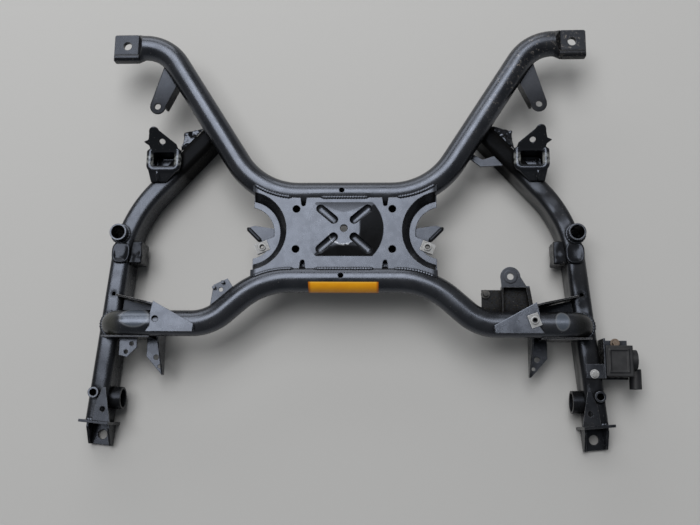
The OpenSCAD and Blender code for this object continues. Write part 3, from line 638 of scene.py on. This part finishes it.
# Pressed and moulded pieces keep the form of their CAD nodes and have softer edges and more relief.
def copy_of(node, name):
    """A piece that stands for a CAD node, with a mesh of its own."""
    source = nodes[node]
    piece = bpy.data.objects.new(name, source.data.copy())
    bpy.context.scene.collection.objects.link(piece)
    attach(piece, "root")
    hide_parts(node)
    return piece


def soften(piece, voxel, rounds):
    """Remesh a piece at the given size in mm and smooth its edges."""
    weld = piece.modifiers.new("weld", "WELD")
    weld.merge_threshold = 0.02 * MM
    mesh = piece.modifiers.new("remesh", "REMESH")
    mesh.mode = "VOXEL"
    mesh.voxel_size = voxel * MM
    mesh.use_smooth_shade = True
    smooth = piece.modifiers.new("smooth", "SMOOTH")
    smooth.factor = 0.5
    smooth.iterations = rounds


def crease(piece, size, depth):
    """Fold a remeshed piece with soft creases of the given size and depth in mm."""
    folds = bpy.data.textures.new(piece.name + "_folds", "CLOUDS")
    folds.noise_scale = size * MM
    folds.noise_depth = 1
    bend = piece.modifiers.new("folds", "DISPLACE")
    bend.texture = folds
    bend.texture_coords = "LOCAL"
    bend.strength = depth * MM
    bend.mid_level = 0.5


def add_shell(piece, verts, faces):
    """Add a closed shell to a piece that is remeshed later, which joins the two."""
    grown = bmesh.new()
    grown.from_mesh(piece.data)
    corners = [grown.verts.new(v) for v in verts]
    added = [grown.faces.new([corners[i] for i in face]) for face in faces]
    bmesh.ops.recalc_face_normals(grown, faces=added)
    grown.to_mesh(piece.data)
    grown.free()


# Faces of a box whose first four corners go round its one end and the others round its other end
BOX_FACES = ((0, 1, 2, 3), (4, 5, 6, 7), (0, 1, 5, 4), (1, 2, 6, 5), (2, 3, 7, 6), (3, 0, 4, 7))

# The rolled rim of the cup, and the skirt with a rib that drops from it onto the rail, on the right
CUP_RIM_Z = -35.5
CUP_RIM_RADIUS = 5.8
CUP_RIM = {"inner_x": 325.0, "outer_x": 379.0, "front_y": 125.0, "back_y": 166.0, "corner": 9.0}
SKIRT_TOP = ((381.0, 121.0, -33.0), (327.0, 121.0, -33.0), (348.0, 101.0, -41.0), (377.0, 101.0, -41.0))
SKIRT_LOW = ((381.0, 121.0, -55.0), (327.0, 121.0, -55.0), (348.0, 101.0, -48.0), (377.0, 101.0, -48.0))
SKIRT_RIB = ((364.0, 120.0, -32.0), (361.0, 103.0, -39.0))
SKIRT_RIB_RADIUS = 3.2

# The sensor's mouldings; SINK is how far a bar or rib goes into the body
LID_STEP = 1.2
LID_DEPTH = 4.0
FRAME_INSET = 6.0
FRAME_WIDTH = 2.2
FRAME_RISE = 1.2
RIB_COUNT = 4
RIB_HALF = 1.2
RIB_RISE = 1.5
RIB_START = 3.0
SINK = 0.5


def rim_path():
    """The U of the cup's rim, from the ear round the front and back to the ear."""
    r = CUP_RIM["corner"]
    left = CUP_RIM["inner_x"]
    right = CUP_RIM["outer_x"]
    front = CUP_RIM["front_y"]
    back = CUP_RIM["back_y"]
    turns = [math.radians(180.0 + 10.0 * i) for i in range(10)]
    first = [(left + r + r * math.cos(t), front + r + r * math.sin(t), CUP_RIM_Z) for t in turns]
    second = [(left + right - x, y, z) for x, y, z in reversed(first)]
    start = line_path((left, back, CUP_RIM_Z), (left, front + r + 1.0, CUP_RIM_Z))
    end = line_path((right, front + r + 1.0, CUP_RIM_Z), (right, back, CUP_RIM_Z))
    return start + first + second + end


def add_cup(side):
    """A cup bracket with its rolled rim, skirt and rib."""
    cup = copy_of("cup_bracket_" + side, "pressed_cup_" + side)
    rim = rim_path()
    skirt = list(SKIRT_TOP + SKIRT_LOW)
    rib = line_path(*SKIRT_RIB)
    if side == "left":
        rim = mirror_path(rim)
        skirt = mirror_path(skirt)
        rib = mirror_path(rib)
    add_shell(cup, *bead_shape(rim, CUP_RIM_RADIUS, ripple=0.0))
    add_shell(cup, [Vector(p) * MM for p in skirt], BOX_FACES)
    add_shell(cup, *bead_shape(rib, SKIRT_RIB_RADIUS, ripple=0.0))
    soften(cup, voxel=1.2, rounds=12)


def box_shell(low, high):
    """Points and faces of a plain box between two corners in mm."""
    corners = []
    for z in (low[2], high[2]):
        corners.append((low[0], low[1], z))
        corners.append((high[0], low[1], z))
        corners.append((high[0], high[1], z))
        corners.append((low[0], high[1], z))
    return [Vector(c) * MM for c in corners], BOX_FACES


def add_sensor_body():
    """The sensor's box with the step of its lid, a raised frame on top and ribs on its near side."""
    body = copy_of("sensor_body", "moulded_sensor_body")
    low, high = [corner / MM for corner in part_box("sensor_body")]
    lid_low = (low.x + SINK, low.y - LID_STEP, high.z - LID_DEPTH)
    lid_high = (high.x + LID_STEP, high.y + LID_STEP, high.z - LID_STEP)
    add_shell(body, *box_shell(lid_low, lid_high))
    left = low.x + FRAME_INSET
    right = high.x - FRAME_INSET
    near = low.y + FRAME_INSET
    far = high.y - FRAME_INSET
    bars = (
        (left, near, right, near + FRAME_WIDTH),
        (left, far - FRAME_WIDTH, right, far),
        (left, near, left + FRAME_WIDTH, far),
        (right - FRAME_WIDTH, near, right, far),
    )
    for x0, y0, x1, y1 in bars:
        add_shell(body, *box_shell((x0, y0, high.z - SINK), (x1, y1, high.z + FRAME_RISE)))
    for i in range(RIB_COUNT):
        x = low.x + (high.x - low.x) * (i + 0.5) / RIB_COUNT
        rib_low = (x - RIB_HALF, low.y - RIB_RISE, low.z + RIB_START)
        rib_high = (x + RIB_HALF, low.y + SINK, high.z - LID_DEPTH)
        add_shell(body, *box_shell(rib_low, rib_high))
    soften(body, voxel=0.7, rounds=3)


add_sensor_body()
for side in ("left", "right"):
    add_cup(side)
    collar = copy_of("rail_collar_" + side, "folded_collar_" + side)
    soften(collar, voxel=0.9, rounds=6)
    crease(collar, size=14.0, depth=7.0)
    pocket = copy_of("pocket_bracket_" + side, "pressed_pocket_" + side)
    soften(pocket, voxel=1.2, rounds=10)
    crease(pocket, size=22.0, depth=5.0)


# Weld beads, which the CAD leaves out, and the rolled edge of the flange tabs. The seams follow the
# sizes of the part's source.
PLATE_Z = -6.0
RAIL_Z = -47.0
CROWN_Z = 1.0
FRONT_SEAM = {"y": 60.4, "straight": 86.5, "centre_y": 209.5, "radius": 149.1, "turn": 1.0}
REAR_SEAM = {"y": -75.1, "straight": 99.0, "centre_y": -238.25, "radius": 163.2, "turn": -1.0}
RAIL_END = (460.0, -352.0)
RAIL_LEAN = math.radians(5.5)
SLEEVE_X = 431.0
SLEEVE_WELD = 16.8
ELBOW_X = 432.0
ELBOW_WELD = 25.0
GUSSET_TIP = ((272.0, OUTER_Y - 3.0, CROWN_Z), (274.0, OUTER_Y - 18.0, CROWN_Z - 3.0))
TAB_EDGE = ((184.0, 8.0, -31.0), (157.0, -19.0, -31.0))


def seam_point(seam, x):
    """The point of a plate seam at the plan place x."""
    side = math.copysign(1.0, x)
    past = abs(x) - seam["straight"]
    if past <= 0.0:
        return (x, seam["y"], PLATE_Z)
    drop = math.sqrt(seam["radius"] ** 2 - past**2)
    return (side * (seam["straight"] + past), seam["centre_y"] - seam["turn"] * drop, PLATE_Z)


def seam_path(seam, start, end):
    """Points of a plate seam from one plan place to another."""
    steps = max(8, int(abs(end - start) / PATH_STEP))
    return [seam_point(seam, start + (end - start) * i / steps) for i in range(steps + 1)]


def ring_path(x, y, z, radius, start=0.0, end=360.0):
    """Points on a level circle, or on its arc between two angles in degrees."""
    steps = max(12, int(abs(end - start) * radius / 90.0))
    angles = [math.radians(start + (end - start) * i / steps) for i in range(steps + 1)]
    return [(x + radius * math.cos(a), y + radius * math.sin(a), z) for a in angles]


def at_rail_end(x, y, z):
    """A point in the frame of the right rail's end, which leans in plan."""
    c = math.cos(RAIL_LEAN)
    s = math.sin(RAIL_LEAN)
    return (RAIL_END[0] + x * c - y * s, RAIL_END[1] + x * s + y * c, z)


def add_mesh(name, verts, faces, finish):
    """A smooth painted piece on the part."""
    mesh = bpy.data.meshes.new(name)
    mesh.from_pydata(verts, [], faces)
    for face in mesh.polygons:
        face.use_smooth = True
    mesh.materials.append(finish)
    piece = bpy.data.objects.new(name, mesh)
    bpy.context.scene.collection.objects.link(piece)
    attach(piece, "root")


def add_bead(name, path, radius, finish=paint, **look):
    verts, faces = bead_shape(path, radius, **look)
    add_mesh(name, verts, faces, finish)


def add_pair(name, path, radius, **look):
    """A bead on the right and its mirror image on the left."""
    add_bead(name + "_right", path, radius, **look)
    add_bead(name + "_left", mirror_path(path), radius, **look)


end_plate_path = line_path(at_rail_end(-15.0, 1.0, RAIL_Z), at_rail_end(15.0, 1.0, RAIL_Z))
add_bead("front_seam_weld", seam_path(FRONT_SEAM, -44.0, 45.0), radius=2.6)
add_bead("rear_seam_weld", seam_path(REAR_SEAM, -54.0, 55.0), radius=3.0)
add_pair("front_horn_weld", seam_path(FRONT_SEAM, 98.0, 169.0), radius=2.8)
add_pair("rear_horn_weld", seam_path(REAR_SEAM, 92.0, 168.0), radius=2.8)
add_pair("sleeve_weld", ring_path(SLEEVE_X, 0.0, RAIL_Z, SLEEVE_WELD), radius=2.2)
add_pair("elbow_weld", ring_path(ELBOW_X, OUTER_Y, RAIL_Z, ELBOW_WELD, -80.0, 80.0), radius=3.0)
add_pair("gusset_tip_weld", line_path(*GUSSET_TIP), radius=3.0)
add_pair("end_plate_weld", end_plate_path, radius=2.6)
add_pair("flange_tab_roll", line_path(*TAB_EDGE), radius=3.4, ripple=0.0, finish=low_paint)


# The scoop of each pocket bracket on the rail's top, behind the sleeve. Its profile runs from the
# middle out: share of the radius, and rise over the rail. The rim leans by SCOOP_LEAN of its rise.
SCOOP_PLACE = (428.5, -37.0)
SCOOP_RADII = (15.5, 18.5)
SCOOP_SQUARE = 0.70
SCOOP_PROFILE = (
    (0.20, 0.5),
    (0.45, 0.9),
    (0.65, 2.0),
    (0.80, 3.6),
    (0.90, 4.8),
    (0.97, 5.2),
    (1.04, 4.6),
    (1.10, 3.0),
    (1.14, 0.6),
    (1.15, -5.0),
)
SCOOP_SIDES = 40
SCOOP_MEAN = 0.55
SCOOP_LEAN = 0.45


def squared(value):
    """A sine or cosine pushed outwards, which makes a circle squarish."""
    return math.copysign(abs(value) ** SCOOP_SQUARE, value)


def add_scoop(name, mirror):
    """A shallow dish with a rounded rim, which is high behind and low beside the sleeve."""
    side = -1.0 if mirror else 1.0
    verts = []
    for share, rise in SCOOP_PROFILE:
        for k in range(SCOOP_SIDES):
            turn = 2.0 * math.pi * k / SCOOP_SIDES
            across = squared(math.cos(turn))
            along = squared(math.sin(turn))
            level = rise * (SCOOP_MEAN - SCOOP_LEAN * along) if rise > 0.0 else rise
            x = side * (SCOOP_PLACE[0] + SCOOP_RADII[0] * share * across)
            y = SCOOP_PLACE[1] + SCOOP_RADII[1] * share * along
            verts.append(Vector((x, y, RAIL_Z + level)) * MM)
    faces = [tuple(range(SCOOP_SIDES))]
    for i in range(len(SCOOP_PROFILE) - 1):
        for k in range(SCOOP_SIDES):
            n = (k + 1) % SCOOP_SIDES
            inner = i * SCOOP_SIDES
            outer = inner + SCOOP_SIDES
            faces.append((inner + k, outer + k, outer + n, inner + n))
    last = (len(SCOOP_PROFILE) - 1) * SCOOP_SIDES
    faces.append(tuple(last + k for k in reversed(range(SCOOP_SIDES))))
    if mirror:
        faces = [tuple(reversed(face)) for face in faces]
    add_mesh(name, verts, faces, scoop_paint)


add_scoop("pocket_scoop_right", mirror=False)
add_scoop("pocket_scoop_left", mirror=True)


# Floor, light and camera
def add_floor():
    bpy.ops.mesh.primitive_plane_add(size=FLOOR_SIZE, location=(0.0, 0.0, GROUND))
    floor = bpy.context.object
    floor.name = "floor"
    floor.data.materials.append(pale_floor())


def add_softbox(name, place, width, height, radiance):
    """An area light that faces the origin."""
    light = bpy.data.lights.new(name, "AREA")
    light.shape = "RECTANGLE"
    light.size = width
    light.size_y = height
    light.energy = radiance * width * height * math.pi
    box = bpy.data.objects.new(name, light)
    box.location = place
    box.rotation_mode = "QUATERNION"
    box.rotation_quaternion = (-Vector(place)).to_track_quat("-Z", "Y")
    bpy.context.scene.collection.objects.link(box)


def add_world():
    world = bpy.data.worlds.new("studio")
    world.use_nodes = True
    back = world.node_tree.nodes["Background"]
    back.inputs["Color"].default_value = WORLD_COLOUR
    back.inputs["Strength"].default_value = WORLD_STRENGTH
    bpy.context.scene.world = world


def add_camera():
    lens = bpy.data.cameras.new("camera")
    lens.lens = CAMERA_LENS
    lens.sensor_width = CAMERA_SENSOR
    camera = bpy.data.objects.new("camera", lens)
    camera.location = CAMERA_PLACE
    camera.rotation_euler = [math.radians(a) for a in CAMERA_TURN]
    bpy.context.scene.collection.objects.link(camera)
    bpy.context.scene.camera = camera


add_floor()
for softbox in SOFTBOXES:
    add_softbox(*softbox)
add_world()
add_camera()
bpy.context.scene.view_settings.view_transform = "Standard"
